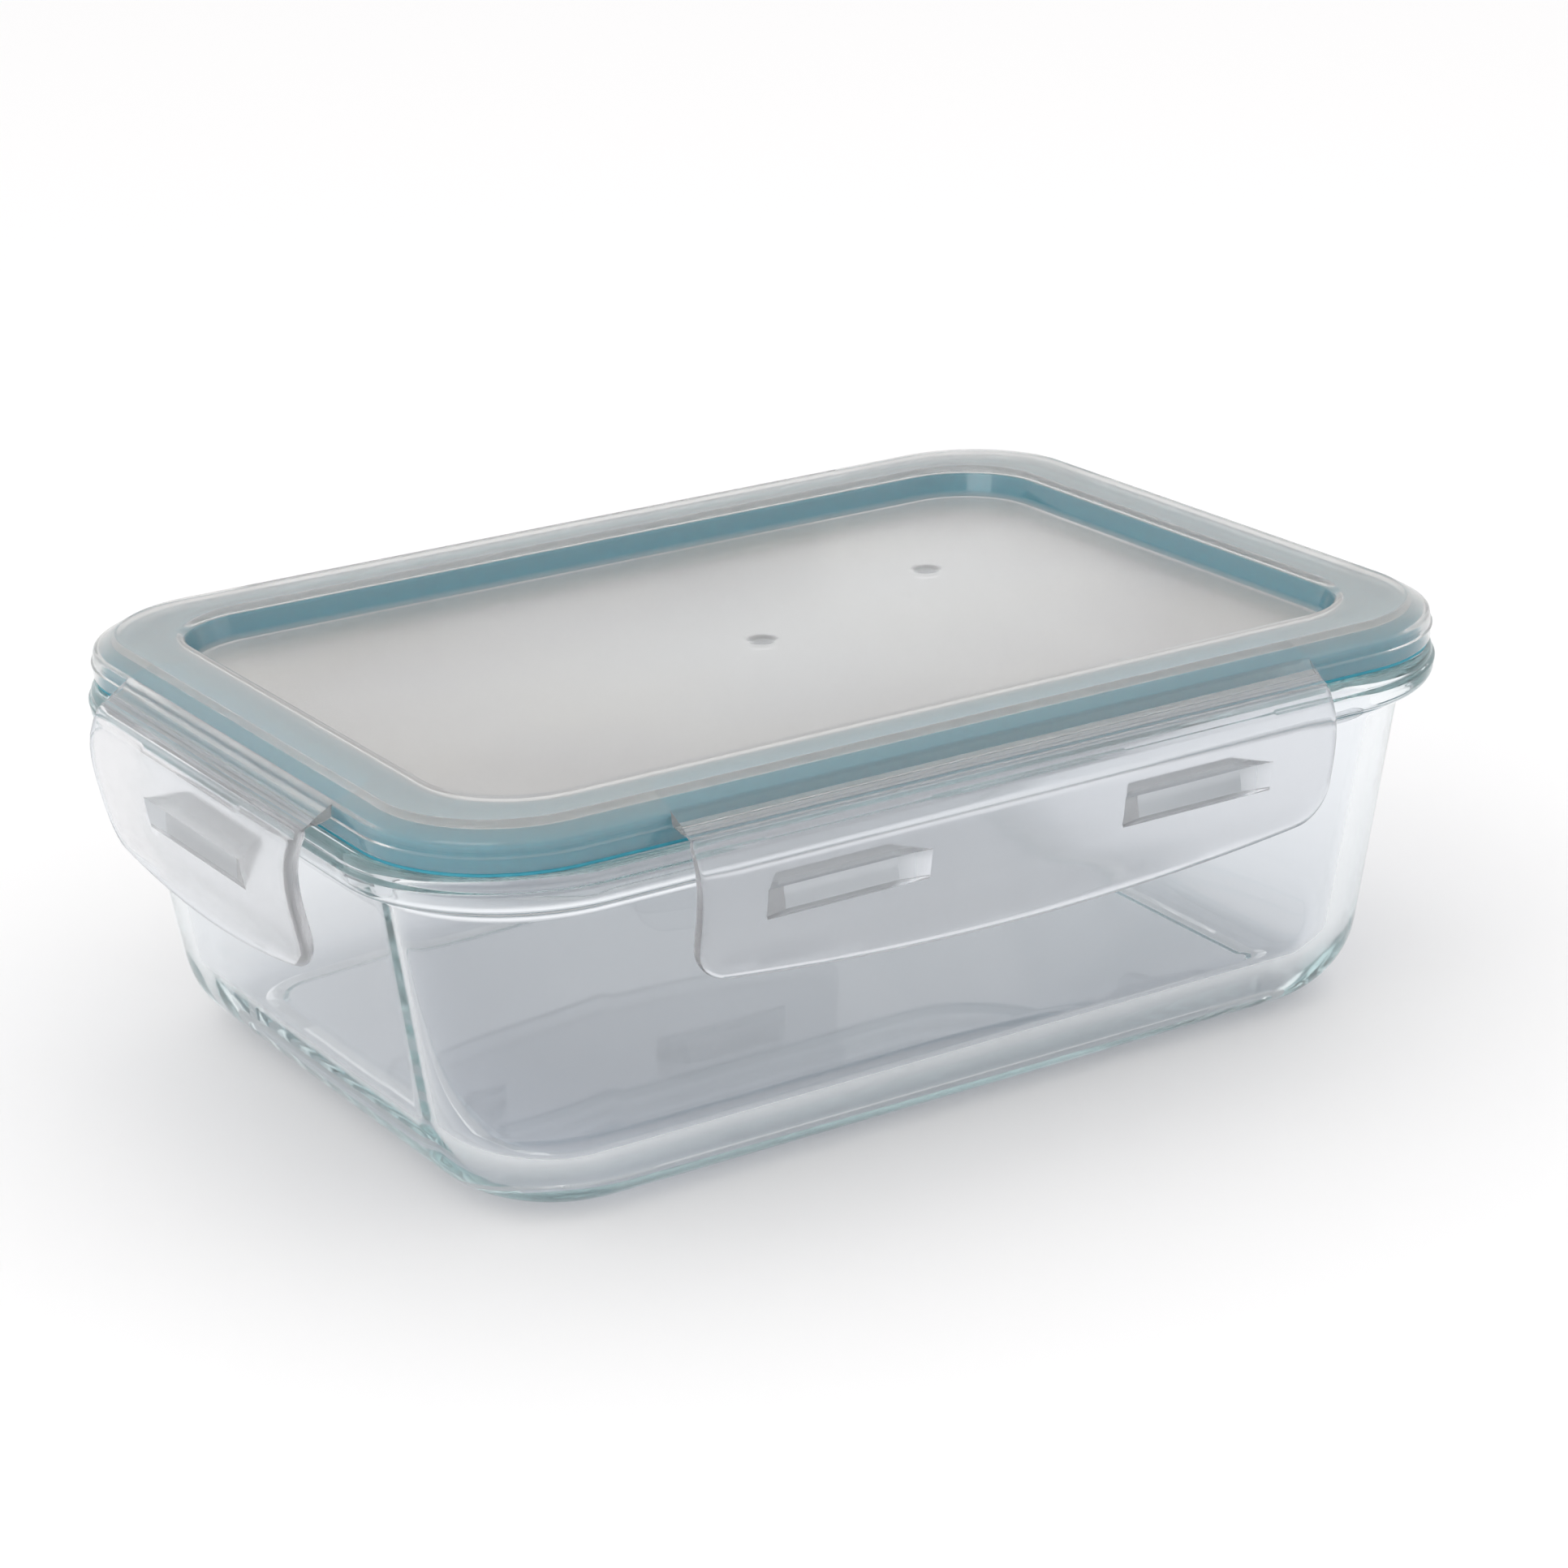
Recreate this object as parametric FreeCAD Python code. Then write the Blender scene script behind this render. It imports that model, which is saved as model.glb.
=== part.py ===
import FreeCAD, Part
import math
import os
from FreeCAD import Vector

# Glass food storage container: a glass dish and a locking lid with four latch flaps.
# Units are mm. X is the long side, Y the short side, Z up, origin at the bottom centre.

os.makedirs("parts", exist_ok=True)

# ---- overall size ----
LENGTH = 213.0            # latch to latch, along X
WIDTH = 156.0             # latch to latch, along Y
HEIGHT = 70.0             # table to the top of the lid's ring

# ---- lid moulding; a plan is (half length, half width, corner radius) ----
FLAP_OUT = 7.6                     # how far a flap stands out from the skirt
SKIRT = (LENGTH / 2 - FLAP_OUT, WIDTH / 2 - FLAP_OUT, 24.5)
SKIRT_LOW_Z = 63.0
SKIRT_T = 1.5
RING_T = 1.6
RIDGE_OFFSET = 3.7                 # line where the ring starts to slope, measured in from the skirt
SLOPE_DROP = 2.3                   # fall from that line to the top of the skirt
RECESS_TOP = (85.0, 56.6, 15.4)    # recess in the lid, at the ring
RECESS_LOW = (83.6, 55.2, 14.0)    # the same at the panel
RECESS_WALL = 1.5
PANEL_TOP_Z = 64.6
PANEL_T = 1.6
MARK_R = 2.6                       # moulding marks on the panel
MARKS = ((0.0, 0.0), (45.0, 17.0))

# ---- glass dish ----
DISH_BASE = (87.2, 62.2, 23.0)     # at the table, before the foot is rounded
DISH_NECK = (95.8, 67.4, 25.0)     # just under the rim bead
NECK_Z = 57.0
RIM_Z = 62.3                       # flat top of the rim
BEAD = (101.1, 72.6, 30.0)         # outermost line of the rim bead
BEAD_LOW_Z = 55.8
FOOT_R = 13.0                      # rounding from wall to base
WALL_TOP = 4.0                     # glass thickness at the neck
WALL_BASE = 4.6
FLOOR = 5.5
INNER_FOOT_R = 10.0

# ---- gasket ----
GASKET_CLEAR = 0.2                 # between the silicone and the rim's flat top
GASKET_TOP_Z = 67.0
LIP_LOW_Z = 60.1
LIP_CLEAR = 0.8                    # between the lip and the inside of the mouth
LIP_T = 3.2

# ---- latch flaps and their living hinges ----
LATCH_T = 1.9
AXIS_IN = 3.0                      # hinge axis, measured in from the widest line
AXIS_Z = 64.6
WEB_IN = 4.9                       # outer edge of the lid's shoulder, measured the same way
ROD_R = 0.6                        # round edge of the hinge film
SEAT_R = 0.68                      # seat for it along the top of the flap
FRONT_HALF = 60.0                  # half width of the long side's flap
SIDE_HALF = 37.0                   # half width of the short side's flap
FLAP_LOW_Z = 38.0                  # lowest point, at the middle of the arched edge
ARCH = 4.0                         # rise of the lower edge towards the ends
CORNER_R = 6.0
RIB_TIP_IN = 7.3                   # tip of the lock rib, measured in from the widest line
RIB_LOW_Z = 50.2
RIB_TOP_Z = 54.6
FRONT_RIBS = ((-46.1, -19.7), (19.7, 46.1))
SIDE_RIBS = ((-16.0, 16.0),)


def rounded_rect(half_x, half_y, radius, z):
    """Closed wire of a rounded rectangle, starting at the middle of its front side."""
    k = radius * (1 - math.sqrt(0.5))
    x, y = half_x - radius, half_y - radius
    edges = [Part.makeLine(Vector(0, -half_y, z), Vector(x, -half_y, z))]
    arcs = (
        ((x, -half_y), (half_x - k, -half_y + k), (half_x, -y)),
        ((half_x, y), (half_x - k, half_y - k), (x, half_y)),
        ((-x, half_y), (-half_x + k, half_y - k), (-half_x, y)),
        ((-half_x, -y), (-half_x + k, -half_y + k), (-x, -half_y)),
    )
    for start, middle, end in arcs:
        a, m, b = (Vector(p[0], p[1], z) for p in (start, middle, end))
        if (edges[-1].Vertexes[-1].Point - a).Length > 1e-6:
            edges.append(Part.makeLine(edges[-1].Vertexes[-1].Point, a))
        edges.append(Part.Arc(a, m, b).toShape())
    edges.append(Part.makeLine(edges[-1].Vertexes[-1].Point, Vector(0, -half_y, z)))
    return Part.Wire(edges)


def soft_outline(points, place):
    """Closed wire through (p, q, r) corners, each rounded by r. place turns p, q into a Vector."""
    edges = []
    first = None
    last = None
    count = len(points)
    for i in range(count):
        before, here, after = points[i - 1], points[i], points[(i + 1) % count]
        c = Vector(here[0], here[1], 0)
        u = (Vector(before[0], before[1], 0) - c).normalize()
        v = (Vector(after[0], after[1], 0) - c).normalize()
        if here[2] > 0:
            half = u.getAngle(v) / 2
            run = here[2] / math.tan(half)
            middle = c + (u + v).normalize() * (here[2] / math.sin(half) - here[2])
            start, end = c + u * run, c + v * run
        else:
            start = middle = end = c
        a, m, b = (place(p.x, p.y) for p in (start, middle, end))
        if last is not None and (last - a).Length > 1e-6:
            edges.append(Part.makeLine(last, a))
        if here[2] > 0:
            edges.append(Part.Arc(a, m, b).toShape())
        first = a if first is None else first
        last = b
    if (last - first).Length > 1e-6:
        edges.append(Part.makeLine(last, first))
    return Part.Wire(edges)


def ring(size, profile):
    """Solid ring: (outward, z, r) profile carried round the rounded rectangle given by size."""
    half_x, half_y, radius = size
    spine = rounded_rect(half_x, half_y, radius, 0.0)
    wire = soft_outline(profile, lambda out, z: Vector(0, -half_y - out, z))
    return spine.makePipeShell([wire], True, False)


def block(size, offset, z_low, z_high):
    """Upright solid with the plan of size, grown outward by offset."""
    half_x, half_y, radius = size
    wire = rounded_rect(half_x + offset, half_y + offset, radius + offset, z_low)
    return Part.Face(wire).extrude(Vector(0, 0, z_high - z_low))


def tapered(low, high, z_low, z_high):
    """Solid between two rounded rectangles."""
    wires = [rounded_rect(*low, z_low), rounded_rect(*high, z_high)]
    return Part.makeLoft(wires, True, True)


def level_edges(shape, z):
    """Edges that lie flat at height z."""
    box = lambda e: e.BoundBox
    return [e for e in shape.Edges if abs(box(e).ZMin - z) < 1e-4 and abs(box(e).ZMax - z) < 1e-4]


def grown(size, offset):
    return size[0] + offset, size[1] + offset, size[2] + offset


def between(low, high, share):
    return tuple(a + (b - a) * share for a, b in zip(low, high))


# ---- glass dish: drafted body, rim bead, then the hollow ----
body = tapered(DISH_BASE, DISH_NECK, 0.0, NECK_Z)
body = body.makeFillet(FOOT_R, level_edges(body, 0.0))
bead_out = BEAD[1] - DISH_NECK[1]
bead = ring(
    BEAD,
    [
        (-bead_out - 3.0, BEAD_LOW_Z - 4.5, 0),
        (-bead_out + 0.1, BEAD_LOW_Z - 0.8, 2.0),
        (0.0, BEAD_LOW_Z + 0.9, 2.6),
        (0.0, RIM_Z, 2.8),
        (-bead_out - 3.0, RIM_Z, 0),
    ],
)
neck = block(DISH_NECK, -1.0, NECK_Z - 0.5, RIM_Z)
floor_plan = grown(between(DISH_BASE, DISH_NECK, FLOOR / NECK_Z), -WALL_BASE)
mouth_plan = grown(between(DISH_BASE, DISH_NECK, RIM_Z / NECK_Z), -WALL_TOP)
above_plan = grown(mouth_plan, 0.3)
hollow = tapered(floor_plan, mouth_plan, FLOOR, RIM_Z)
hollow = hollow.makeFillet(INNER_FOOT_R, level_edges(hollow, FLOOR))
dish = body.fuse([neck, bead]).removeSplitter().cut(hollow)
mouth_edges = [e for e in level_edges(dish, RIM_Z) if e.BoundBox.YMax < BEAD[1] - 5.0]
mouth_edges = [e for e in mouth_edges if e.BoundBox.YMin > -BEAD[1] + 5.0]
mouth_edges = [e for e in mouth_edges if abs(e.CenterOfMass.x) < mouth_plan[0] + 0.5]
dish = dish.makeFillet(1.2, mouth_edges)

# ---- lid moulding: skirt and ring, then the sloping recess and its panel ----
panel_low = PANEL_TOP_Z - PANEL_T
rim_ring = ring(
    SKIRT,
    [
        (0.0, SKIRT_LOW_Z, 0.4),
        (-0.2, HEIGHT - SLOPE_DROP, 0.8),
        (-RIDGE_OFFSET, HEIGHT, 0.8),
        (-9.0, HEIGHT, 0),
        (-9.0, HEIGHT - RING_T, 0),
        (-RIDGE_OFFSET, HEIGHT - RING_T, 0.4),
        (-SKIRT_T, HEIGHT - SLOPE_DROP - 0.6, 0.4),
        (-SKIRT_T + 0.2, SKIRT_LOW_Z, 0.3),
    ],
)
top_plate = block(SKIRT, -8.0, HEIGHT - RING_T, HEIGHT)
tub = tapered(grown(RECESS_LOW, RECESS_WALL), grown(RECESS_TOP, RECESS_WALL), panel_low, HEIGHT - 0.1)
recess = tapered(RECESS_LOW, RECESS_TOP, PANEL_TOP_Z, HEIGHT)
recess = recess.makeFillet(1.0, level_edges(recess, PANEL_TOP_Z))
lid = rim_ring.fuse([top_plate, tub]).removeSplitter().cut(recess)
brink = [e for e in level_edges(lid, HEIGHT) if abs(e.CenterOfMass.x) < RECESS_TOP[0] + 0.5]
brink = [e for e in brink if abs(e.CenterOfMass.y) < RECESS_TOP[1] + 0.5]
lid = lid.makeFillet(1.1, brink)


def across(outline, half):
    """Bar with an (outward, z, r) outline, lying across the front from -half to half."""
    wire = soft_outline(outline, lambda out, z: Vector(-half, -out, z))
    return Part.Face(wire).extrude(Vector(2 * half, 0, 0))


def shoulder(widest, half):
    """Sloping web from the ring out to the hinge, and the wedge cut from the lid above it."""
    skirt = widest - FLAP_OUT
    start = (skirt - RIDGE_OFFSET - 0.3, HEIGHT - 0.05)
    end = (widest - WEB_IN, AXIS_Z + 1.3)
    web = [
        (*start, 0),
        (*end, 0.3),
        (end[0], AXIS_Z + 0.1, 0.3),
        (skirt - 0.1, AXIS_Z + 1.2, 0),
        (skirt - SKIRT_T + 0.1, AXIS_Z + 1.4, 0),
        (skirt - SKIRT_T + 0.1, HEIGHT - SLOPE_DROP - 0.5, 0),
        (skirt - RIDGE_OFFSET, HEIGHT - RING_T + 0.05, 0),
        (start[0], HEIGHT - RING_T + 0.05, 0),
    ]
    above = [(*start, 0), (*end, 0), (end[0], HEIGHT + 2, 0), (start[0], HEIGHT + 2, 0)]
    return across(web, half), across(above, half)


def hinge_film(widest, half):
    """Thin strip with a round edge on the hinge axis, for a flap at the front."""
    out = widest - AXIS_IN
    rod = Part.makeCylinder(ROD_R, 2 * half, Vector(-half, -out, AXIS_Z), Vector(1, 0, 0))
    strip = [
        (out - 0.3, AXIS_Z + 0.5, 0),
        (out - ROD_R + 0.05, AXIS_Z + 0.1, 0),
        (widest - WEB_IN, AXIS_Z + 0.35, 0),
        (widest - WEB_IN, AXIS_Z + 1.15, 0),
    ]
    return rod.fuse(across(strip, half)).removeSplitter()


def flap_section(widest, inset):
    """Spline down the flap, inset from its outer face."""
    points = (
        (-AXIS_IN + SEAT_R + 0.35, AXIS_Z),
        (-1.45, 63.2),
        (-0.45, 60.8),
        (0.0, 57.6),
        (-0.45, 53.0),
        (-1.35, 48.6),
        (-2.1, 44.5),
        (-2.6, FLAP_LOW_Z - 1.0),
    )
    return [Vector(0, -(widest + out - inset), z) for out, z in points]


def sheet_between(widest, near, far, half):
    """Bowed sheet across the front, from near to far inside the flap's outer face."""
    lines = []
    for inset in (near, far):
        curve = Part.BSplineCurve()
        curve.interpolate(flap_section(widest, inset))
        lines.append(curve.toShape())
    tops = [line.Vertexes[0].Point for line in lines]
    lows = [line.Vertexes[-1].Point for line in lines]
    section = Part.Face(Part.Wire([lines[0], Part.makeLine(*lows), lines[1], Part.makeLine(*tops)]))
    section.translate(Vector(-half, 0, 0))
    return section.extrude(Vector(2 * half, 0, 0))


def flap_front(widest, half):
    """Front view of the flap as a deep block: arched lower edge and rounded lower corners."""
    end_z = FLAP_LOW_Z + ARCH
    arch_r = (half**2 + ARCH**2) / (2 * ARCH)
    slab = Part.makeBox(2 * half, 30, 60, Vector(-half, -widest - 10, end_z - 10))
    drum = Part.makeCylinder(arch_r, 40, Vector(0, -widest - 15, FLAP_LOW_Z + arch_r), Vector(0, 1, 0))
    front = slab.common(drum)
    corners = [e for e in front.Edges if e.BoundBox.YLength > 29 and e.CenterOfMass.z < end_z + 2]
    return front.makeFillet(CORNER_R, corners)


def lock_rib(widest, left, right):
    """Wedge on the flap's inner face, reaching in under the bead, with slanted ends."""
    tip = widest - RIB_TIP_IN
    root = widest - 0.5
    outline = [
        (root, RIB_LOW_Z - 0.6, 0),
        (tip + 1.6, RIB_LOW_Z, 0.8),
        (tip, RIB_TOP_Z - 1.6, 0.5),
        (tip, RIB_TOP_Z, 0.4),
        (root, RIB_TOP_Z, 0),
    ]
    middle = (left + right) / 2
    wedge = across(outline, (right - left) / 2)
    wedge.translate(Vector(middle, 0, 0))
    plan = Part.makePolygon(
        [
            Vector(left - 1.5, -widest, 40),
            Vector(left + 3.0, -tip + 0.1, 40),
            Vector(right - 3.0, -tip + 0.1, 40),
            Vector(right + 1.5, -widest, 40),
            Vector(left - 1.5, -widest, 40),
        ]
    )
    return wedge.common(Part.Face(plan).extrude(Vector(0, 0, 30)))


def flap(widest, half, ribs):
    """Latch flap at the front: bowed sheet, lock ribs, and a seat for the hinge film's edge."""
    sheet = sheet_between(widest, 0.0, LATCH_T, half).common(flap_front(widest, half))
    beyond = sheet_between(widest, -6.0, 0.6, half)
    for left, right in ribs:
        sheet = sheet.fuse(lock_rib(widest, left, right).cut(beyond))
    out = widest - AXIS_IN
    lip = Part.makeBox(2 * half, SEAT_R + 1.0, 1.6, Vector(-half, -out - 0.35, AXIS_Z - 1.6))
    seat = Part.makeCylinder(SEAT_R, 2 * half + 2, Vector(-half - 1, -out, AXIS_Z), Vector(1, 0, 0))
    return sheet.fuse(lip).cut(seat).removeSplitter()


def turned(shape, angle):
    copy = shape.copy()
    copy.rotate(Vector(0, 0, 0), Vector(0, 0, 1), angle)
    return copy


parts = {"glass_dish": dish}
sides = (
    ("front", 0, WIDTH / 2, FRONT_HALF, FRONT_RIBS),
    ("right", 90, LENGTH / 2, SIDE_HALF, SIDE_RIBS),
    ("back", 180, WIDTH / 2, FRONT_HALF, FRONT_RIBS),
    ("left", 270, LENGTH / 2, SIDE_HALF, SIDE_RIBS),
)
for side, angle, widest, half, ribs in sides:
    web, above = (turned(shape, angle) for shape in shoulder(widest, half))
    lid = lid.cut(above).fuse(web)
    parts[side + "_latch"] = turned(flap(widest, half, ribs), angle)
    parts[side + "_living_hinge"] = turned(hinge_film(widest, half), angle)
for x, y in MARKS:
    lid = lid.cut(Part.makeCylinder(MARK_R, 1.0, Vector(x, y, PANEL_TOP_Z - 0.3)))
parts["lid"] = lid.removeSplitter()

# ---- gasket: fills the channel, rests on the rim and has a lip inside the mouth ----
rest_z = RIM_Z + GASKET_CLEAR
band = block(SKIRT, -SKIRT_T - 0.05, rest_z, GASKET_TOP_Z)
lip = block(mouth_plan, -LIP_CLEAR, LIP_LOW_Z, rest_z + 1.0)
lip = lip.cut(block(mouth_plan, -LIP_CLEAR - LIP_T, LIP_LOW_Z - 1.0, rest_z))
gasket = band.fuse(lip)
parts["silicone_gasket"] = gasket.cut(
    tapered(
        grown(RECESS_LOW, RECESS_WALL),
        grown(RECESS_TOP, RECESS_WALL),
        panel_low,
        HEIGHT - 0.1,
    )
)

for name, shape in parts.items():
    solids = shape.Solids
    shape = solids[0] if len(solids) == 1 else shape
    shape.exportStep("parts/" + name + ".step")
    box = shape.optimalBoundingBox()
    print(
        name, "solids", len(solids), "valid", shape.isValid(), "cm3", round(shape.Volume / 1000, 2),
        "x", round(box.XMin, 2), round(box.XMax, 2),
        "y", round(box.YMin, 2), round(box.YMax, 2),
        "z", round(box.ZMin, 2), round(box.ZMax, 2),
    )
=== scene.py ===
import math

import bmesh
import bpy
from mathutils import Matrix, Vector
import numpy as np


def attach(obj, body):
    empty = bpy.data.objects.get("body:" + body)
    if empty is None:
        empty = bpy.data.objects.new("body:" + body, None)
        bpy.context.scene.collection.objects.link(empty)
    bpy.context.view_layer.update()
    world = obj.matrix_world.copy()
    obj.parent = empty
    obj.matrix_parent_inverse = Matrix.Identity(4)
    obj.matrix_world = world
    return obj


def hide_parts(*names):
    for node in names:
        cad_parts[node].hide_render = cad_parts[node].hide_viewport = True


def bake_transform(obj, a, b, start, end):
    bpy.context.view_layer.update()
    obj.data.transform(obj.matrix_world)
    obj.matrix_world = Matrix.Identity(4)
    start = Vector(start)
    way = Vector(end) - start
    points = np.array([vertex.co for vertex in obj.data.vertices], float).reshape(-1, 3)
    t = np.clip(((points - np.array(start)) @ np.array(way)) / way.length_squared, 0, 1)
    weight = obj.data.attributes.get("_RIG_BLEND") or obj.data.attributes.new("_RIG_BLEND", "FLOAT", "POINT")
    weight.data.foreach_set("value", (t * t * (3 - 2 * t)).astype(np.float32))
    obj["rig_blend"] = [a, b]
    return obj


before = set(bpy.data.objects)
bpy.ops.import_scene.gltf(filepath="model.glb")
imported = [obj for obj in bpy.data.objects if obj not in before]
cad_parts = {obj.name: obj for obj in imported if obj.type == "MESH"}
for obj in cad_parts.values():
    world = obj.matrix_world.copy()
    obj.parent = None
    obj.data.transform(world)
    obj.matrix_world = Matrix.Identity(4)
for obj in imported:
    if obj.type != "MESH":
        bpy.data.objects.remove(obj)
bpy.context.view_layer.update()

# Lengths in this script are millimetres until a mesh is finished, and then metres.
MM = 0.001

# ---- sizes shared with the CAD model ----
LENGTH = 213.0  # latch to latch, along X
WIDTH = 156.0  # latch to latch, along Y
HEIGHT = 70.0
# a plan is (half length, half width, corner radius)
FLAP_OUT = 7.6  # a flap's widest line, outside the skirt
SKIRT = (LENGTH / 2 - FLAP_OUT, WIDTH / 2 - FLAP_OUT, 24.5)
SKIRT_LOW_Z = 63.0
RECESS_TOP = (85.0, 56.6, 15.4)
RECESS_LOW = (83.6, 55.2, 14.0)
RECESS_WALL = 1.5
RING_UNDER_Z = 68.3  # underside of the lid's ring
PANEL_TOP_Z = 64.6
PANEL_LOW_Z = 63.0
MARKS = ((0.0, 0.0), (45.0, 17.0))  # middles of the two gate marks
MARK_R = 2.6
DISH_BASE = (87.2, 62.2, 23.0)  # outside of the dish, with its walls carried down to the table
DISH_NECK = (95.8, 67.4, 25.0)  # outside of the dish just under its bead
NECK_Z = 57.0
RIM_Z = 62.3
AXIS_Z = 64.6  # hinge axis
AXIS_IN = 3.0  # hinge axis, inside a flap's widest line
BEND_IN = 4.5  # where a hinge film starts to bend, inside a flap's widest line
WEB_IN = 4.9  # end of the lid's shoulder, inside a flap's widest line
FRONT_HALF = 60.0  # half the length of a flap on a long side
SIDE_HALF = 37.0  # the same on a short side
FLAP_LOW_Z = 38.0  # lowest point of a flap, at the middle of its arch
ARCH = 4.0
LOW_CORNER_R = 6.0
TOP_CORNER_R = 1.1
LATCH_T = 1.9
FRONT_RIBS = ((-47.6, -18.2), (18.2, 47.6))  # both ends of each lock rib
SIDE_RIBS = ((-17.5, 17.5),)
RIB_RUN = 4.5  # slanting end of a rib
RIB_TIP_IN = 7.3  # tip of a rib, inside the flap's widest line

SHARP = math.radians(35.0)  # edges that turn more than this look sharp
BOUNCES = 48  # light has to get through many glass and plastic faces before it fades


# ---- profiles and plans ----
def grown(plan, offset):
    """Plan moved outward by offset all round."""
    return tuple(size + offset for size in plan)


def between(low, high, share):
    """Plan part of the way from low to high."""
    return tuple(a + (b - a) * share for a, b in zip(low, high))


def ramp(low, high, value):
    """0 below low, 1 above high, and straight between them."""
    return min(max((value - low) / (high - low), 0.0), 1.0)


def smooth(low, high, value):
    """0 below low, 1 above high, and an even swing between them."""
    share = ramp(low, high, value)
    return share * share * (3 - 2 * share)


def softened(corners, steps):
    """Points along a profile of (out, z, radius) corners, with each corner rounded by its radius."""
    points = []
    for i, (out, z, radius) in enumerate(corners):
        here = Vector((out, z))
        if radius == 0:
            points.append((out, z))
            continue
        to_last = (Vector(corners[i - 1][:2]) - here).normalized()
        to_next = (Vector(corners[i + 1][:2]) - here).normalized()
        half = to_last.angle(to_next) / 2
        centre = here + (to_last + to_next).normalized() * (radius / math.sin(half))
        start = here + to_last * (radius / math.tan(half)) - centre
        end = here + to_next * (radius / math.tan(half)) - centre
        turn = math.copysign(math.pi - 2 * half, start.x * end.y - start.y * end.x)
        for k in range(steps + 1):
            points.append(tuple(centre + Matrix.Rotation(turn * k / steps, 2) @ start))
    return points


class RoundedShell:
    """Skin of rounded-rectangle rows, each extruded from the last and put on its own plan and height."""

    def __init__(self, plan, stations_x, stations_y, corner_steps):
        self.bm = bmesh.new()
        layers = self.bm.verts.layers
        layers.float_vector.new("core")
        layers.float_vector.new("way")
        layers.float.new("milk")
        # core and way say where a vertex sits on any plan; milk is how milky the plastic is there, and on the lid's
        # flat tops it also carries a painted sheen
        self.core = layers.float_vector["core"]
        self.way = layers.float_vector["way"]
        self.milk = layers.float["milk"]
        half_x, half_y, radius = plan
        bmesh.ops.create_grid(self.bm, x_segments=1, y_segments=1, size=1.0)
        bmesh.ops.scale(self.bm, vec=(half_x, half_y, 1.0), verts=self.bm.verts)
        bmesh.ops.bevel(
            self.bm, geom=self.bm.verts[:], offset=radius, affect="VERTICES",
            segments=corner_steps, profile=0.5, material=-1,
        )
        bmesh.ops.delete(self.bm, geom=self.bm.faces[:], context="FACES_ONLY")
        cuts = [((s, 0, 0), (1, 0, 0)) for s in stations_x] + [((0, s, 0), (0, 1, 0)) for s in stations_y]
        for point, normal in cuts:
            geom = self.bm.verts[:] + self.bm.edges[:]
            bmesh.ops.bisect_plane(self.bm, geom=geom, dist=1e-5, plane_co=point, plane_no=normal)
        reach = Vector((half_x - radius, half_y - radius, 1.0))
        for vert in self.bm.verts:
            centre = Vector((
                min(max(vert.co.x, -reach.x), reach.x),
                min(max(vert.co.y, -reach.y), reach.y),
                0.0,
            ))
            vert[self.core] = (centre.x / reach.x, centre.y / reach.y, 0.0)
            vert[self.way] = (vert.co - centre).normalized()
        self.verts = self.bm.verts[:]
        self.edges = self.bm.edges[:]
        self.first = None

    def place(self, plan, z):
        """Moves the newest row's vertices onto a plan."""
        half_x, half_y, radius = plan
        for vert in self.verts:
            core, way = vert[self.core], vert[self.way]
            vert.co.x = core.x * (half_x - radius) + way.x * radius
            vert.co.y = core.y * (half_y - radius) + way.y * radius
            vert.co.z = z

    def row(self, plan, z, milk=0.0):
        """Adds one row. The first call only puts the starting loop in place."""
        if self.first is None:
            self.first = self.edges
        else:
            made = bmesh.ops.extrude_edge_only(self.bm, edges=self.edges)["geom"]
            self.verts = [g for g in made if isinstance(g, bmesh.types.BMVert)]
            fresh = set(self.verts)
            self.edges = [g for g in made if isinstance(g, bmesh.types.BMEdge) and set(g.verts) <= fresh]
        self.place(plan, z)
        for vert in self.verts:
            vert[self.milk] = milk

    def close_ring(self):
        bmesh.ops.bridge_loops(self.bm, edges=self.first + self.edges)

    def close_end(self, edges):
        bmesh.ops.contextual_create(self.bm, geom=edges)


def finished(bm, name, material):
    """Object from a bmesh in millimetres: outward faces, metres, smooth except across real edges."""
    layers = bm.verts.layers
    for kind, label in ((layers.float_vector, "core"), (layers.float_vector, "way"), (layers.float, "rim")):
        if kind.get(label):  # only needed while the mesh was shaped
            kind.remove(kind.get(label))
    bmesh.ops.remove_doubles(bm, verts=bm.verts, dist=1e-4)
    bmesh.ops.recalc_face_normals(bm, faces=bm.faces)
    bmesh.ops.scale(bm, vec=(MM, MM, MM), verts=bm.verts)
    for face in bm.faces:
        face.smooth = True
    mesh = bpy.data.meshes.new(name)
    bm.to_mesh(mesh)
    bm.free()
    mesh.set_sharp_from_angle(angle=SHARP)
    mesh.materials.append(material)
    piece = bpy.data.objects.new(name, mesh)
    bpy.context.scene.collection.objects.link(piece)
    return piece


# ---- materials; a noise's scale is one over the size of its features in metres ----
def linear(hex_colour):
    """Linear RGBA from an sRGB hex colour."""
    values = [int(hex_colour[i:i + 2], 16) / 255 for i in (1, 3, 5)]
    return tuple(v / 12.92 if v <= 0.04045 else ((v + 0.055) / 1.055) ** 2.4 for v in values) + (1.0,)


def add(tree, kind, inputs=None, **settings):
    """Adds a node. Inputs are values, or sockets of other nodes to link from."""
    made = tree.nodes.new(kind)
    for name, value in settings.items():
        setattr(made, name, value)
    for key, value in (inputs or {}).items():
        if isinstance(value, bpy.types.NodeSocket):
            tree.links.new(value, made.inputs[key])
        else:
            made.inputs[key].default_value = value
    return made


def new_material(name):
    material = bpy.data.materials.new(name)
    material.use_nodes = True
    material.node_tree.nodes.clear()
    return material, material.node_tree


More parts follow.
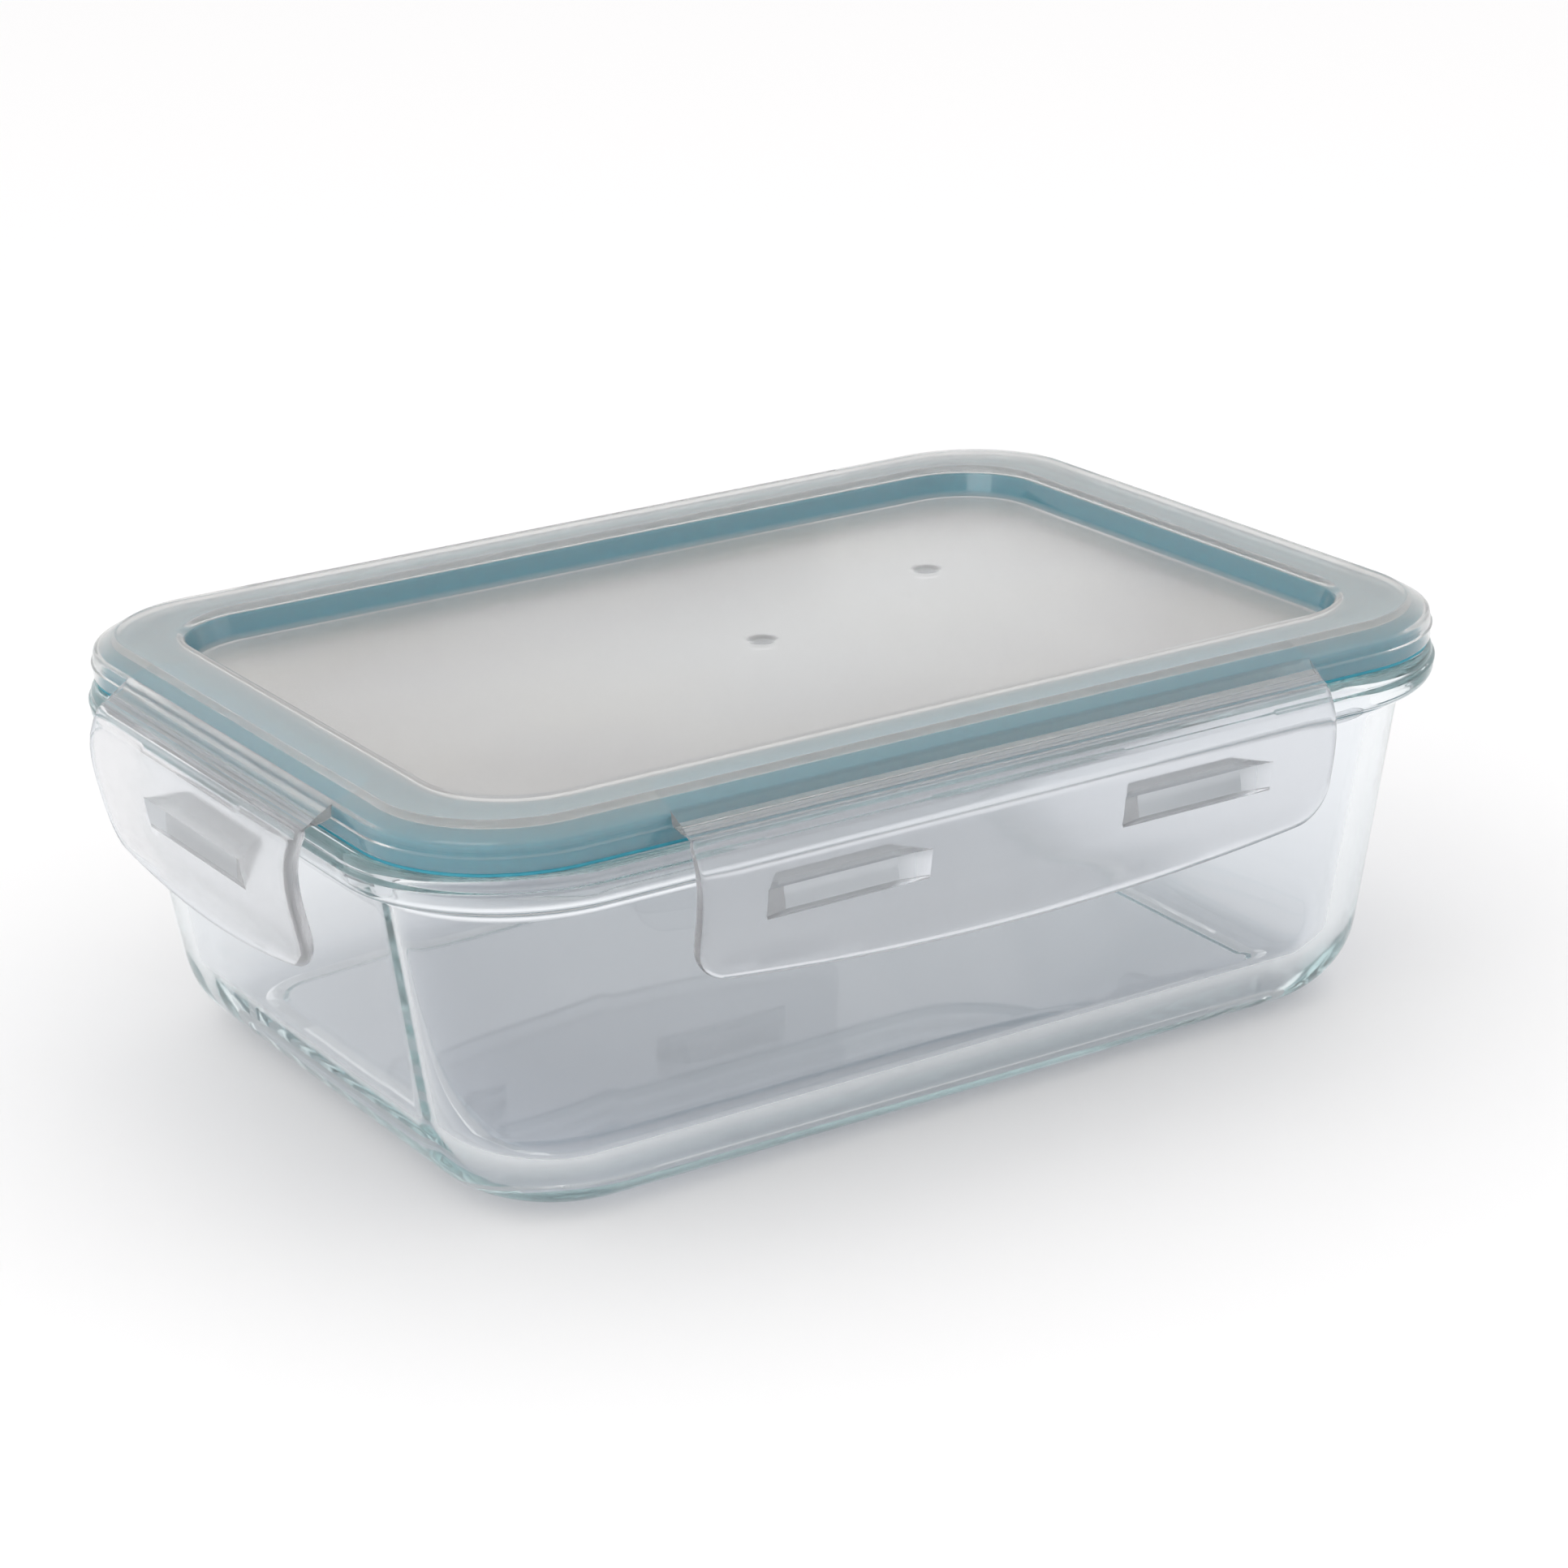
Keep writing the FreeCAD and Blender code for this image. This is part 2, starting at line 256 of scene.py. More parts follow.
def lets_lamps_through(tree, shader, colour):
    """Surface that is shader to the eye, and a plain tint to the light that falls through it."""
    path = add(tree, "ShaderNodeLightPath")
    tint = add(tree, "ShaderNodeBsdfTransparent", {"Color": linear(colour)})
    inputs = {0: path.outputs["Is Shadow Ray"], 1: shader.outputs[0], 2: tint.outputs[0]}
    return add(tree, "ShaderNodeMixShader", inputs).outputs[0]


def pressed_glass():
    """Borosilicate glass, pressed in a mould and fire polished: clear, smooth, faintly wavy, teal where thick."""
    material, tree = new_material("borosilicate_glass_pressed")
    place = add(tree, "ShaderNodeTexCoord").outputs["Object"]
    # long low waves left by the mould, and a gloss that changes a little from place to place
    waves = add(tree, "ShaderNodeTexNoise", {"Vector": place, "Scale": 1 / (28.0 * MM), "Detail": 1.0}).outputs["Fac"]
    bump = add(tree, "ShaderNodeBump", {"Strength": 0.04, "Distance": 0.0006, "Height": waves})
    skin = add(tree, "ShaderNodeTexNoise", {"Vector": place, "Scale": 1 / (6.0 * MM), "Detail": 2.0}).outputs["Fac"]
    inputs = {"Value": skin, "From Min": 0.3, "From Max": 0.7, "To Min": 0.01, "To Max": 0.04}
    gloss = add(tree, "ShaderNodeMapRange", inputs)
    glass = add(tree, "ShaderNodeBsdfPrincipled", {
        "Base Color": linear("#FAFBFD"),
        "Roughness": gloss.outputs["Result"],
        "IOR": 1.473,
        "Transmission Weight": 0.995,
        "Normal": bump.outputs["Normal"],
    })
    surface = lets_lamps_through(tree, glass, "#F3F3F8")
    depth = add(tree, "ShaderNodeVolumeAbsorption", {"Color": linear("#7CD4D4"), "Density": 4.0})
    add(tree, "ShaderNodeOutputMaterial", {"Surface": surface, "Volume": depth.outputs[0]})
    return material


def frosted_lid():
    """Natural polypropylene from a spark-eroded mould: milky, see-through up close, fine satin grain."""
    material, tree = new_material("polypropylene_frosted_moulded")
    place = add(tree, "ShaderNodeTexCoord").outputs["Object"]
    # the real grain is under 0.1 mm, too fine to show, so it is drawn at 0.5 mm
    grain = add(tree, "ShaderNodeTexNoise", {"Vector": place, "Scale": 1 / (0.5 * MM), "Detail": 2.0}).outputs["Fac"]
    bump = add(tree, "ShaderNodeBump", {"Strength": 0.05, "Distance": 0.00002, "Height": grain})
    drift = add(tree, "ShaderNodeTexNoise", {"Vector": place, "Scale": 1 / (45.0 * MM), "Detail": 2.0}).outputs["Fac"]
    drift = add(tree, "ShaderNodeMapRange", {"Value": drift, "From Min": 0.3, "From Max": 0.7}).outputs["Result"]
    inputs = {"Factor": drift, "A": linear("#DAD9D8"), "B": linear("#DEDCD8")}
    milk = add(tree, "ShaderNodeMix", inputs, data_type="RGBA").outputs["Result"]
    # the plastic's own milkiness, clearer on the thin upright walls; the panel and ring are made milkier and whiter,
    # partly as painted sheen for the whiter look of their tops seen at a grazing angle
    milk_and_sheen = add(tree, "ShaderNodeAttribute", attribute_name="milk").outputs["Fac"]
    inputs = {"Factor": milk_and_sheen, "A": linear("#F4F6F6"), "B": milk}
    milk = add(tree, "ShaderNodeMix", inputs, data_type="RGBA").outputs["Result"]
    # each gate mark is greyer than the panel round it: greyest within 1.6 mm of its middle, fading to nothing at 3 mm
    for x, y in MARKS:
        centre = (x * MM, y * MM, PANEL_TOP_Z * MM)
        away = add(tree, "ShaderNodeVectorMath", {0: place, 1: centre}, operation="DISTANCE")
        inputs = {
            "Value": away.outputs["Value"],
            "From Min": 1.6 * MM,
            "From Max": 3.0 * MM,
            "To Min": 0.75,
            "To Max": 0.0,
        }
        near = add(tree, "ShaderNodeMapRange", inputs, interpolation_type="SMOOTHSTEP")
        inputs = {"Factor": near.outputs["Result"], "A": milk, "B": linear("#9AA0A3")}
        milk = add(tree, "ShaderNodeMix", inputs, data_type="RGBA").outputs["Result"]
    # the same mask makes the plastic less clear and more satin: the plastic's own milk, and on the tops painted sheen
    inputs = {"Value": milk_and_sheen, "To Min": 0.97, "To Max": 0.8}
    clearness = add(tree, "ShaderNodeMapRange", inputs).outputs["Result"]
    inputs = {"Value": milk_and_sheen, "To Min": 0.07, "To Max": 0.26}
    satin = add(tree, "ShaderNodeMapRange", inputs).outputs["Result"]
    inputs = {"Value": grain, "From Min": 0.3, "From Max": 0.7, "To Min": -0.01, "To Max": 0.01}
    fine = add(tree, "ShaderNodeMapRange", inputs).outputs["Result"]
    satin = add(tree, "ShaderNodeMath", {0: satin, 1: fine}, operation="ADD")
    plastic = add(tree, "ShaderNodeBsdfPrincipled", {
        "Base Color": milk,
        "Roughness": satin.outputs["Value"],
        "IOR": 1.49,
        "Transmission Weight": clearness,
        "Normal": bump.outputs["Normal"],
    })
    surface = lets_lamps_through(tree, plastic, "#F1F2F2")
    add(tree, "ShaderNodeOutputMaterial", {"Surface": surface})
    return material


def clear_flap():
    """Natural polypropylene from a polished mould: nearly clear, soft gloss, faint flow lines."""
    material, tree = new_material("polypropylene_clear_moulded")
    place = add(tree, "ShaderNodeTexCoord").outputs["Object"]
    flow = add(tree, "ShaderNodeTexNoise", {"Vector": place, "Scale": 1 / (9.0 * MM), "Detail": 2.0}).outputs["Fac"]
    bump = add(tree, "ShaderNodeBump", {"Strength": 0.1, "Distance": 0.0001, "Height": flow})
    # milk is 1 on the lock ribs: they are thick, so greyer, and their faces in the mould were left matt
    ribs = add(tree, "ShaderNodeAttribute", attribute_name="milk").outputs["Fac"]
    inputs = {"Factor": ribs, "A": linear("#EEEFF1"), "B": linear("#D2D6D8")}
    colour = add(tree, "ShaderNodeMix", inputs, data_type="RGBA")
    inputs = {"Value": ribs, "To Min": 0.92, "To Max": 0.72}
    clearness = add(tree, "ShaderNodeMapRange", inputs)
    inputs = {"Value": flow, "From Min": 0.3, "From Max": 0.7, "To Min": 0.09, "To Max": 0.12}
    haze = add(tree, "ShaderNodeMapRange", inputs).outputs["Result"]
    haze = add(tree, "ShaderNodeMath", {0: ribs, 1: 0.35, 2: haze}, operation="MULTIPLY_ADD")
    plastic = add(tree, "ShaderNodeBsdfPrincipled", {
        "Base Color": colour.outputs["Result"],
        "Roughness": haze.outputs["Value"],
        "IOR": 1.49,
        "Transmission Weight": clearness.outputs["Result"],
        "Normal": bump.outputs["Normal"],
    })
    surface = lets_lamps_through(tree, plastic, "#F0F1F3")
    add(tree, "ShaderNodeOutputMaterial", {"Surface": surface})
    return material


def teal_silicone():
    """Platinum-cured silicone rubber, compression moulded: soft matte teal with a little light inside."""
    material, tree = new_material("silicone_rubber_moulded")
    place = add(tree, "ShaderNodeTexCoord").outputs["Object"]
    grain = add(tree, "ShaderNodeTexNoise", {"Vector": place, "Scale": 1 / (1.2 * MM), "Detail": 2.0}).outputs["Fac"]
    bump = add(tree, "ShaderNodeBump", {"Strength": 0.15, "Distance": 0.0001, "Height": grain})
    mottle = add(tree, "ShaderNodeMapRange", {"Value": grain, "From Min": 0.3, "From Max": 0.7}).outputs["Result"]
    inputs = {"Factor": mottle, "A": linear("#3490A5"), "B": linear("#3C99AD")}
    colour = add(tree, "ShaderNodeMix", inputs, data_type="RGBA")
    rubber = add(tree, "ShaderNodeBsdfPrincipled", {
        "Base Color": colour.outputs["Result"],
        "Roughness": 0.55,
        "IOR": 1.41,
        "Subsurface Weight": 0.25,
        "Subsurface Scale": 0.001,
        "Normal": bump.outputs["Normal"],
    })
    add(tree, "ShaderNodeOutputMaterial", {"Surface": rubber.outputs[0]})
    return material


def painted_floor():
    """Matt painted board: plain, pale, with a very fine roller texture."""
    material, tree = new_material("painted_board_matt")
    place = add(tree, "ShaderNodeTexCoord").outputs["Object"]
    grain = add(tree, "ShaderNodeTexNoise", {"Vector": place, "Scale": 1 / (3.0 * MM), "Detail": 2.0}).outputs["Fac"]
    bump = add(tree, "ShaderNodeBump", {"Strength": 0.03, "Distance": 0.0001, "Height": grain})
    board = add(tree, "ShaderNodeBsdfPrincipled", {
        "Base Color": linear("#FAFAFA"),
        "Roughness": 0.8,
        "Normal": bump.outputs["Normal"],
    })
    add(tree, "ShaderNodeOutputMaterial", {"Surface": board.outputs[0]})
    return material


GLASS = pressed_glass()
FROSTED = frosted_lid()
CLEAR = clear_flap()
SILICONE = teal_silicone()


# ---- glass dish: foot ring, drafted walls, stepped rim bead, rounded hollow ----
def dish_plan(out, z):
    return grown(between(DISH_BASE, DISH_NECK, z / NECK_Z), out)


def make_dish():
    shell = RoundedShell(DISH_NECK, (-60, -30, 0, 30, 60), (-30, 0, 30), 28)
    outside = softened(
        [
            (-19.0, 0.7, 0), (-17.2, 0.7, 0.5), (-16.0, 0.0, 0.6), (0.0, 0.0, 13.0),
            (0.0, 54.9, 2.0), (4.95, 56.6, 2.4), (4.95, 60.0, 0.7), (4.3, 60.4, 0.4), (4.3, RIM_Z, 1.8),
            (-4.0, RIM_Z, 1.2), (-4.6, 5.5, 10.0), (-18.0, 5.5, 0),
        ],
        10,
    )
    for out, z in outside:
        shell.row(dish_plan(out, z), z)
    shell.close_end(shell.first)
    shell.close_end(shell.edges)
    return finished(shell.bm, "glass_dish_visual", GLASS)


# ---- lid moulding: panel, recess wall, ring, sloping shoulders and skirt ----
def recess_plan(out, z):
    return grown(between(RECESS_LOW, RECESS_TOP, (z - PANEL_TOP_Z) / (HEIGHT - PANEL_TOP_Z)), out)


def sink_marks(shell):
    """Fills the panel's top round its two gate marks, and sinks each mark in steps."""
    rims = []
    for x, y in MARKS:
        place = Matrix.Translation((x, y, PANEL_TOP_Z))
        circle = bmesh.ops.create_circle(shell.bm, cap_ends=False, radius=MARK_R + 1.0, segments=32, matrix=place)
        corners = set(circle["verts"])
        rims.append([e for e in shell.bm.edges if corners.issuperset(e.verts)])
    bmesh.ops.triangle_fill(shell.bm, edges=shell.first + [e for rim in rims for e in rim], use_beauty=True)
    for edges, (x, y) in zip(rims, MARKS):
        for radius, depth in ((MARK_R + 0.2, 0.0), (MARK_R, 0.02), (2.3, 0.1), (1.9, 0.24), (1.5, 0.3)):
            made = bmesh.ops.extrude_edge_only(shell.bm, edges=edges)["geom"]
            verts = [g for g in made if isinstance(g, bmesh.types.BMVert)]
            edges = [g for g in made if isinstance(g, bmesh.types.BMEdge) and set(g.verts) <= set(verts)]
            for vert in verts:
                way = (vert.co - Vector((x, y, vert.co.z))).normalized()
                vert.co = Vector((x, y, PANEL_TOP_Z - depth)) + way * radius
        bmesh.ops.contextual_create(shell.bm, geom=edges)


def make_lid():
    edge = 0.25  # the shoulders rise to their full width over this length
    shell = RoundedShell(
        SKIRT,
        [s * v for s in (-1, 1) for v in (15, 30, 45, FRONT_HALF - edge, FRONT_HALF)] + [0],
        [s * v for s in (-1, 1) for v in (18, SIDE_HALF - edge, SIDE_HALF)] + [0],
        20,
    )
    # top of the panel, up the recess wall and over onto the ring
    # milk is 1 on the panel and 0.6 on the ring's top, partly painted sheen there; the recess wall stays clear
    for out, z in softened([(-4.0, PANEL_TOP_Z, 0), (0.0, PANEL_TOP_Z, 1.0), (0.0, 69.8, 1.1), (3.5, 69.8, 0)], 5):
        milk = max(1.0 - ramp(PANEL_TOP_Z, 65.6, z), 0.6 * ramp(68.8, 69.8, z))
        shell.row(recess_plan(out, z), z, milk)
    # ring, outer slope and skirt, and the underside as far as the ring; both profiles have the same rows
    ring = [(-5.4, 69.75, 0), (-4.1, HEIGHT, 0.7)]
    under = [
        (0.0, SKIRT_LOW_Z, 0.4), (-1.3, SKIRT_LOW_Z, 0.3), (-1.5, 67.1, 0.4),
        (-3.7, RING_UNDER_Z, 0.4), (-5.4, RING_UNDER_Z, 0),
    ]
    slope = [(-0.2, 67.7, 0.9), (0.0, 65.8, 0.05), (0.3, 65.6, 0.05), (0.3, 65.4, 0), (0.0, 65.2, 0)]
    web = FLAP_OUT - WEB_IN
    shoulder = [
        (web, AXIS_Z + 1.3, 0.4), (web, AXIS_Z + 0.1, 0.3), (1.2, 65.0, 0.05), (0.2, 65.3, 0), (0.0, 65.1, 0),
    ]
    plain = softened(ring + slope + under, 4)
    shoulder = softened(ring + shoulder + under, 4)
    # milk is 0.6 over the ring and up to 0.6 where the shoulders meet the ring's top, partly painted sheen there; the
    # skirt stays at 0.1 and its hairline at 0.5
    for (out, z), (wide_out, wide_z) in zip(plain, shoulder):
        milk = max(0.6 * ramp(66.9, 67.6, z), 0.5 if out > 0.1 else 0.1)
        shell.row(grown(SKIRT, out), z, milk)
        for vert in shell.verts:
            core, way = vert[shell.core], vert[shell.way]
            along_x = abs(way.y) > 0.999 and abs(core.x) * (SKIRT[0] - SKIRT[2]) < FRONT_HALF - edge / 2
            along_y = abs(way.x) > 0.999 and abs(core.y) * (SKIRT[1] - SKIRT[2]) < SIDE_HALF - edge / 2
            if along_x or along_y:
                vert.co += way * (wide_out - out)
                vert.co.z = wide_z
                vert[shell.milk] = 0.2 + 0.4 * ramp(69.2, 70.0, wide_z)
    # down inside the recess wall and under the panel
    inside = [
        (3.6, RING_UNDER_Z, 0), (RECESS_WALL, RING_UNDER_Z, 0.4),
        (RECESS_WALL, PANEL_LOW_Z, 1.8), (-4.0, PANEL_LOW_Z, 0),
    ]
    # milk is 1 under the panel and 0.6 under the ring, the same mask that carries the tops' painted sheen
    for out, z in softened(inside, 4):
        milk = max(1.0 - ramp(PANEL_LOW_Z, 64.5, z), 0.6 * ramp(67.0, RING_UNDER_Z, z))
        shell.row(recess_plan(out, z), z, milk)
    shell.close_end(shell.edges)
    sink_marks(shell)
    return finished(shell.bm, "lid_moulding", FROSTED)


# ---- gasket: band in the lid's channel, with a ribbed lip inside the mouth ----
def make_gasket():
    shell = RoundedShell(SKIRT, (-50, -25, 0, 25, 50), (-25, 0, 25), 20)
    # outside: a small flange under the skirt, then up into the lid's channel
    band = [
        (-3.6, 62.5, 0), (-1.6, 62.36, 0.1), (-0.35, 62.4, 0.2), (-0.35, 62.94, 0.2),
        (-1.62, 62.94, 0.05), (-1.62, 66.6, 0.8), (-4.0, 67.9, 0.8), (-5.4, 68.0, 0),
    ]
    for out, z in softened(band, 4):
        shell.row(grown(SKIRT, out), z)
    for out, z in softened([(3.6, 68.0, 0), (1.65, 68.0, 0.5), (1.65, 62.6, 0.6), (2.2, 62.6, 0)], 3):
        shell.row(recess_plan(out, z), z)
    lip = [
        (-4.2, 62.6, 0), (-4.0, 60.1, 0.8), (-0.9, 60.1, 0.6), (-1.5, 61.0, 0.25),
        (-0.85, 61.5, 0.3), (-1.5, 62.2, 0.25), (-0.6, 62.5, 0),
    ]
    for out, z in softened(lip, 3):
        shell.row(dish_plan(out - 4.0, RIM_Z), z)
    shell.close_ring()
    return finished(shell.bm, "silicone_gasket_ring", SILICONE)


# ---- latch flaps ----
# (height, how far out) along a flap's outer face
BOW = (
    (34.0, -2.75), (38.0, -2.6), (44.5, -2.1), (48.6, -1.35), (53.0, -0.45), (57.6, 0.0), (60.8, -0.45),
    (63.2, -1.45), (64.6, -1.97), (66.5, -2.6),
)


def bow(z):
    """How far the flap's outer face stands from the widest line at height z, as a smooth curve through BOW."""
    i = max(k for k in range(1, len(BOW) - 2) if BOW[k][0] <= z or k == 1)
    (z0, a), (z1, b), (z2, c), (z3, d) = BOW[i - 1:i + 3]
    t = (z - z1) / (z2 - z1)
    slope_b = (c - a) / (z2 - z0) * (z2 - z1)
    slope_c = (d - b) / (z3 - z1) * (z2 - z1)
    return (
        (2 * t**3 - 3 * t**2 + 1) * b + (t**3 - 2 * t**2 + t) * slope_b
        + (3 * t**2 - 2 * t**3) * c + (t**3 - t**2) * slope_c
    )


def stepped(points, value):
    """Straight runs between (place, height) points."""
    for (a, low), (b, high) in zip(points, points[1:]):
        if value <= b:
            return low + (high - low) * ramp(a, b, value)
    return points[-1][1]


# (height, share of its full reach) up a rib's inner face
RIB_SIDE = ((49.6, 0.0), (50.2, 0.7), (53.0, 1.0), (54.5, 1.0), (54.65, 0.0))
# insets that round the flap's rim, and the width over which it rounds
RIM_STEPS = (0.08, 0.15, 0.25, 0.42)
RIM_WIDTH = 0.9
# depth of the fine groove under the hinge, and the heights between which it sinks
GROOVE = 0.18
GROOVE_START = (62.7, 62.9)
GROOVE_START_AT_RIBS = (62.1, 62.3)


def make_flap(name, half, widest, ribs, turn):
    """Bowed sheet with an arched lower edge and a full round rim, lock ribs on its inner face."""
    bm = bmesh.new()
    bm.verts.layers.float.new("rim")
    bm.verts.layers.float.new("milk")
    rim, milk = bm.verts.layers.float["rim"], bm.verts.layers.float["milk"]
    # outline in x and z: a rectangle with its lower side bent to the arch and its corners rounded
    bmesh.ops.create_grid(bm, x_segments=1, y_segments=1, size=1.0)
    for vert in bm.verts:
        vert.co = Vector((vert.co.x * half, 0.0, AXIS_Z if vert.co.y > 0 else FLAP_LOW_Z + ARCH))
    lower = [e for e in bm.edges if all(v.co.z < AXIS_Z - 1 for v in e.verts)]
    bmesh.ops.subdivide_edges(bm, edges=lower, cuts=23)
    for vert in bm.verts:
        if vert.co.z < AXIS_Z - 1:
            vert.co.z = FLAP_LOW_Z + ARCH * (vert.co.x / half) ** 2
    for high, radius, steps in ((False, LOW_CORNER_R, 10), (True, TOP_CORNER_R, 4)):
        corners = [v for v in bm.verts if abs(v.co.x) > half - 0.01 and (v.co.z > AXIS_Z - 1) == high]
        inner = [v for v in bm.verts if not high and half - radius * 1.2 < abs(v.co.x) < half - 0.01]
        bmesh.ops.dissolve_verts(bm, verts=inner)
        bmesh.ops.bevel(
            bm, geom=corners, offset=radius, affect="VERTICES", segments=steps, profile=0.5, material=-1,
        )
    face = max(bm.faces, key=lambda f: f.calc_area())
    depth = 0.0
    for step in RIM_STEPS:
        bmesh.ops.inset_region(bm, faces=[face], thickness=step, use_even_offset=True, use_boundary=True)
        depth += step
        for vert in face.verts:
            vert[rim] = depth
    # cuts along the ribs' ends and flanks and the groove, and an even set for the bow
    ends = {x for left, right in ribs for x in (left, left + RIB_RUN, right - RIB_RUN, right)}
    stations_x = sorted(ends | {x + 0.2 for x in ends}) + [half * (k / 10 - 1) for k in range(1, 20)]
    stations_z = [z for z, _ in RIB_SIDE] + [*GROOVE_START_AT_RIBS, *GROOVE_START]
    stations_z += [FLAP_LOW_Z + 2 * k for k in range(1, 13)]
    for x in stations_x:
        geom = bm.verts[:] + bm.edges[:] + bm.faces[:]
        bmesh.ops.bisect_plane(bm, geom=geom, dist=1e-4, plane_co=(x, 0, 0), plane_no=(1, 0, 0))
    for z in stations_z:
        geom = bm.verts[:] + bm.edges[:] + bm.faces[:]
        bmesh.ops.bisect_plane(bm, geom=geom, dist=1e-4, plane_co=(0, 0, z), plane_no=(0, 0, 1))
    back = bmesh.ops.duplicate(bm, geom=bm.verts[:] + bm.edges[:] + bm.faces[:])["geom"]
    inner = {g for g in back if isinstance(g, bmesh.types.BMVert)}
    for vert in bm.verts:
        x, z = vert.co.x, vert.co.z
        thick = LATCH_T + 0.3 * smooth(-46.0, -40.0, -z)  # the grip is a little thicker
        inland = ramp(0.0, RIM_WIDTH, vert[rim])
        lean = 1.0 - inland
        rounding = thick / 2 * (1.0 - math.sqrt(max(1.0 - lean * lean, 0.0)))
        behind_rib = any(left <= x <= right for left, right in ribs)
        if vert in inner:
            sheet = widest + bow(z) - thick + rounding
            along = max(ramp(left, left + RIB_RUN, x) * ramp(-right, -right + RIB_RUN, -x) for left, right in ribs)
            rib = along * stepped(RIB_SIDE, z)
            vert.co.y = -(sheet + (widest - RIB_TIP_IN - sheet) * rib)
            vert[milk] = 1.0 if rib > 0.01 else 0.0
        else:
            sunk = GROOVE * ramp(*(GROOVE_START_AT_RIBS if behind_rib else GROOVE_START), z)
            vert.co.y = -(widest + bow(z) - rounding - sunk * inland)
    bmesh.ops.rotate(bm, cent=(0, 0, 0), matrix=Matrix.Rotation(turn, 3, "Z"), verts=bm.verts)
    return finished(bm, name, CLEAR)


# (how far out from the widest line, middle height, thickness) across a hinge film
FILM = (
    (-5.1, 65.3, 1.0), (-4.6, 65.25, 0.9), (-4.2, 65.05, 0.5),
    (-3.8, 64.85, 0.42), (-3.4, 64.65, 0.42), (-2.8, 64.4, 0.5),
)
FILM_END_GAP = 0.3  # the film stops this far inside each end of its flap


def make_film(name, half, widest, turn):
    """Thin bending line between the lid's shoulder and the top of the flap."""
    bm = bmesh.new()
    bmesh.ops.create_grid(bm, x_segments=len(FILM) - 1, y_segments=1, size=1.0)
    for vert in bm.verts:
        out, middle, thick = FILM[round((vert.co.x + 1) / 2 * (len(FILM) - 1))]
        vert.co = Vector((-half + FILM_END_GAP, -(widest + out), middle + vert.co.y * thick / 2))
    made = bmesh.ops.extrude_face_region(bm, geom=bm.faces[:])["geom"]
    moved = [g for g in made if isinstance(g, bmesh.types.BMVert)]
    bmesh.ops.translate(bm, vec=(2 * (half - FILM_END_GAP), 0, 0), verts=moved)
    bmesh.ops.rotate(bm, cent=(0, 0, 0), matrix=Matrix.Rotation(turn, 3, "Z"), verts=bm.verts)
    return finished(bm, name, CLEAR)


# ---- the scene ----
def make_stage():
    bm = bmesh.new()
    bmesh.ops.create_grid(bm, x_segments=8, y_segments=8, size=4000.0)
    floor = finished(bm, "studio_floor", painted_floor())


def make_camera():
    """Camera at the viewing angle: three-quarter view from the front left, above the lid."""
    yaw, pitch, roll = 0.5579, 0.3435, 0.0293
    look = Vector((math.cos(pitch) * math.sin(yaw), math.cos(pitch) * math.cos(yaw), -math.sin(pitch)))
    right = look.cross(Vector((0, 0, 1))).normalized()
    up = right.cross(look)
    level = Matrix((right, up, -look)).transposed()
    camera = bpy.data.objects.new("camera", bpy.data.cameras.new("camera"))
    camera.matrix_world = Matrix.Translation((-0.343714, -0.556390, 0.272727)) @ (
        level @ Matrix.Rotation(-roll, 3, "Z")
    ).to_4x4()
    camera.data.lens = 93.90
    camera.data.sensor_width = 36.0
    camera.data.clip_end = 50.0
    bpy.context.scene.collection.objects.link(camera)
    bpy.context.scene.camera = camera


def make_light(name, place, aim, size, watts, colour):
    lamp = bpy.data.lights.new(name, "AREA")
    lamp.shape = "RECTANGLE"
    lamp.size, lamp.size_y = size
    lamp.energy = watts
    lamp.color = linear(colour)[:3]
    holder = bpy.data.objects.new(name, lamp)
    direction = Vector(aim) - Vector(place)
    holder.matrix_world = Matrix.Translation(place) @ direction.to_track_quat("-Z", "Y").to_matrix().to_4x4()
    bpy.context.scene.collection.objects.link(holder)


